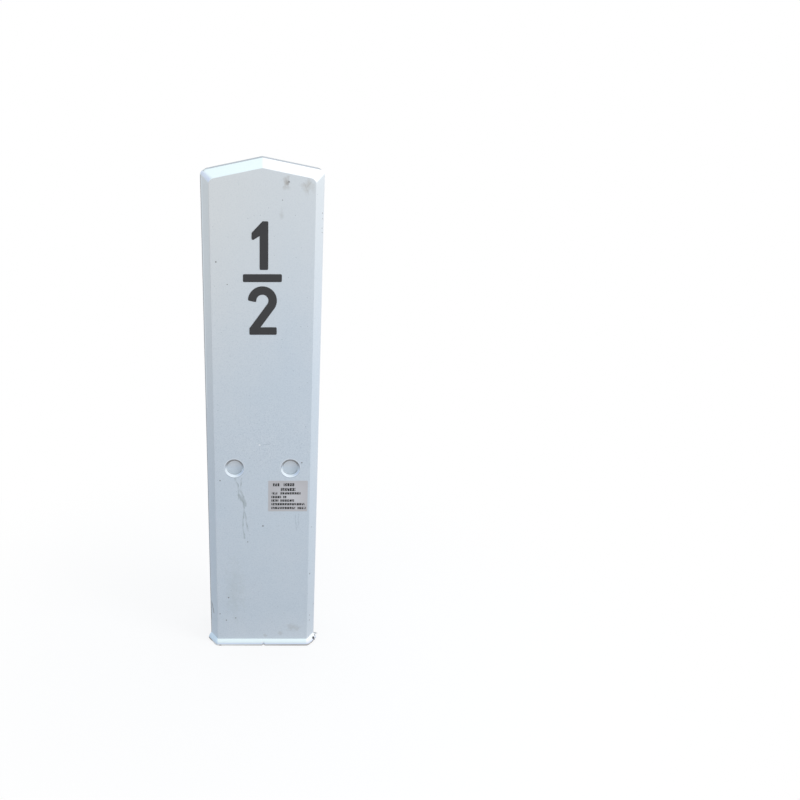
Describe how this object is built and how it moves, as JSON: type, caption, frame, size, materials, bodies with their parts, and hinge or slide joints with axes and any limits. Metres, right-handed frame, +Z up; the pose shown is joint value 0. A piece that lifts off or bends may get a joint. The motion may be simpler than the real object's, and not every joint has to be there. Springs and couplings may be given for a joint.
{
  "type": "railway distance marker post",
  "caption": "Upright hollow marker post with a gabled top, a bevelled front, round recesses, a one-half numeral in film and a paper inspection label.",
  "frame": {"origin": "middle of the post's foot, on the ground it stands on", "axes": "+Z up along the post, -Y out of the front face with the numerals, +X to the right of someone who faces the front"},
  "size_m": [0.2127, 0.106, 0.9],
  "materials": {
    "shell": "moulded fibre-reinforced polyester, pale blue-white gel coat, satin",
    "numeral_film": "die-cut vinyl film, charcoal, matt",
    "label_paper": "coated label paper, off-white",
    "label_ink": "thermal print, black"
  },
  "bodies": {
    "root": {"post_shell": "shell", "numeral_one": "numeral_film", "fraction_bar": "numeral_film", "numeral_two": "numeral_film", "inspection_label": "label_paper", "label_print": "label_ink"}
  },
  "joints": []
}
